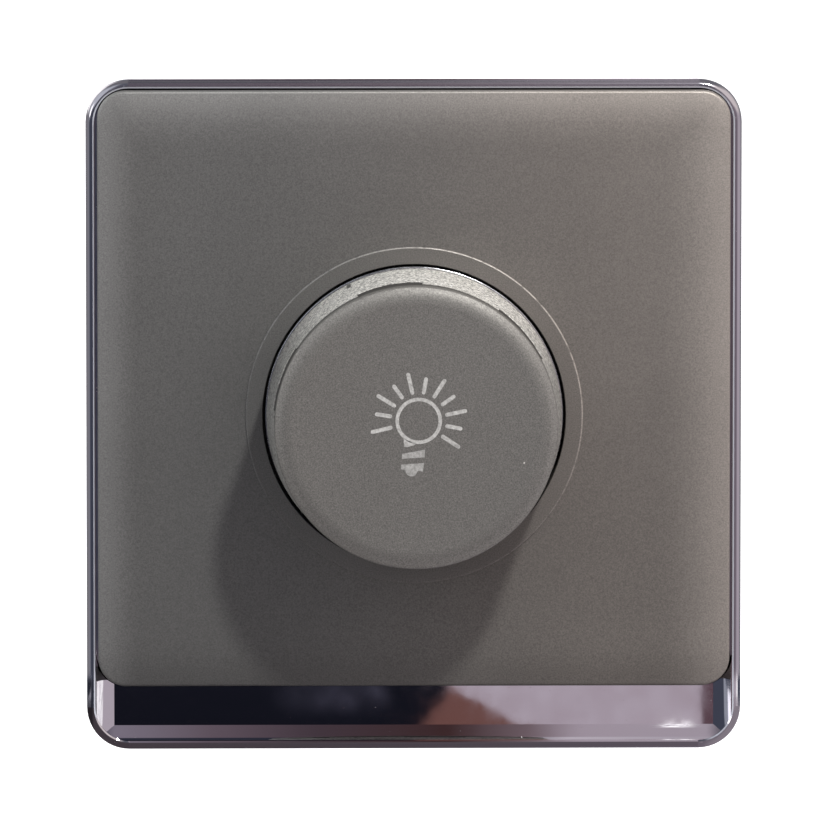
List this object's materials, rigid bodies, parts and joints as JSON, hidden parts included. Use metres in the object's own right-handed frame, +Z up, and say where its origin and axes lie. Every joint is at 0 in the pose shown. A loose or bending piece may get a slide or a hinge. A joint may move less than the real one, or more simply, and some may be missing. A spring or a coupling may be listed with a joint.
{
  "type": "rotary dimmer switch",
  "caption": "Wall-mounted rotary dimmer with a large turning knob, a lift-off fascia, a glossy bezel and a rear housing with screw terminals.",
  "frame": {"origin": "on the wall face, midway between the two fixing slots, on the knob's axis", "axes": "+Z up the wall, +Y into the wall, +X to the right seen from the room"},
  "size_m": [0.086, 0.0574, 0.0883],
  "materials": {
    "fascia_paint": "satin gunmetal metallic paint with a fine speckle",
    "bezel_chrome": "dark chrome-look plated plastic, mirror gloss",
    "knob_paint": "satin gunmetal metallic paint on a moulded cap",
    "skirt_metal": "bright metallic paint with a coarse speckle",
    "foot_gloss": "dark chrome-look plated plastic",
    "frame_plastic": "black moulded plastic",
    "housing_plastic": "black moulded plastic with a fine spark texture",
    "steel": "zinc plated steel",
    "brass": "plain brass",
    "aluminium": "rolled aluminium sheet",
    "copper": "enamelled copper wire",
    "ferrite": "coated iron powder core",
    "board": "glass fibre laminate with solder mask",
    "phenolic": "pressed phenolic sheet",
    "package": "black moulded package",
    "film_box": "yellow moulded box",
    "blue_box": "blue moulded box",
    "tan_body": "tan lacquer",
    "glass": "clear glass",
    "terminal_plastic": "green moulded plastic"
  },
  "bodies": {
    "base": {"bezel_frame": "bezel_chrome", "mounting_frame": "frame_plastic", "rear_housing": "housing_plastic", "housing_screws": "steel", "pot_bushing": "steel", "pot_nut": "steel", "pot_washer": "steel", "pot_case": "steel", "pot_wafer": "phenolic", "pot_lugs": "steel", "pot_switch": "package", "circuit_board": "board", "choke_core": "ferrite", "choke_winding": "copper", "film_capacitor": "film_box", "timing_capacitor": "blue_box", "heat_sink": "aluminium", "triac": "package", "triac_screw": "steel", "triac_nut": "steel", "fuse_link": "glass", "fuse_clips": "brass", "diac": "blue_box", "resistor_1": "tan_body", "resistor_2": "tan_body", "terminal_block": "terminal_plastic", "terminal_bar_live": "brass", "terminal_bar_load": "brass"},
    "fascia": {"fascia_plate": "fascia_paint"},
    "knob": {"knob_cap": "knob_paint", "knob_skirt": "skirt_metal", "knob_foot_ring": "foot_gloss", "knob_spring": "steel", "spindle": "aluminium", "spindle_clip": "steel", "pot_rotor": "package", "wiper_brush": "brass"},
    "screw_live": {"clamp_screw_live": "steel"},
    "cage_live": {"clamp_cage_live": "steel"},
    "screw_load": {"clamp_screw_load": "steel"},
    "cage_load": {"clamp_cage_load": "steel"}
  },
  "joints": [
    {"name": "knob_turn", "type": "hinge", "parent": "base", "child": "knob", "pos_m": [0, 0, 0], "axis": [0, 1, 0], "range_deg": [-8, 292]},
    {"name": "fascia_lift", "type": "slide", "parent": "base", "child": "fascia", "axis": [0, -1, 0], "range_m": [0, 0.025]},
    {"name": "clamp_turn_live", "type": "hinge", "parent": "base", "child": "screw_live", "pos_m": [-0.005, 0.024, -0.01975], "axis": [0, -1, 0], "range_deg": [0, 1440]},
    {"name": "clamp_rise_live", "type": "slide", "parent": "base", "child": "cage_live", "axis": [0, 1, 0], "range_m": [0, 0.0024]},
    {"name": "clamp_turn_load", "type": "hinge", "parent": "base", "child": "screw_load", "pos_m": [0.005, 0.024, -0.01975], "axis": [0, -1, 0], "range_deg": [0, 1440]},
    {"name": "clamp_rise_load", "type": "slide", "parent": "base", "child": "cage_load", "axis": [0, 1, 0], "range_m": [0, 0.0024]}
  ],
  "couplings": [
    {"joint": "clamp_turn_live", "follows": "clamp_rise_live", "rad_per_m": 10472},
    {"joint": "clamp_turn_load", "follows": "clamp_rise_load", "rad_per_m": 10472}
  ]
}
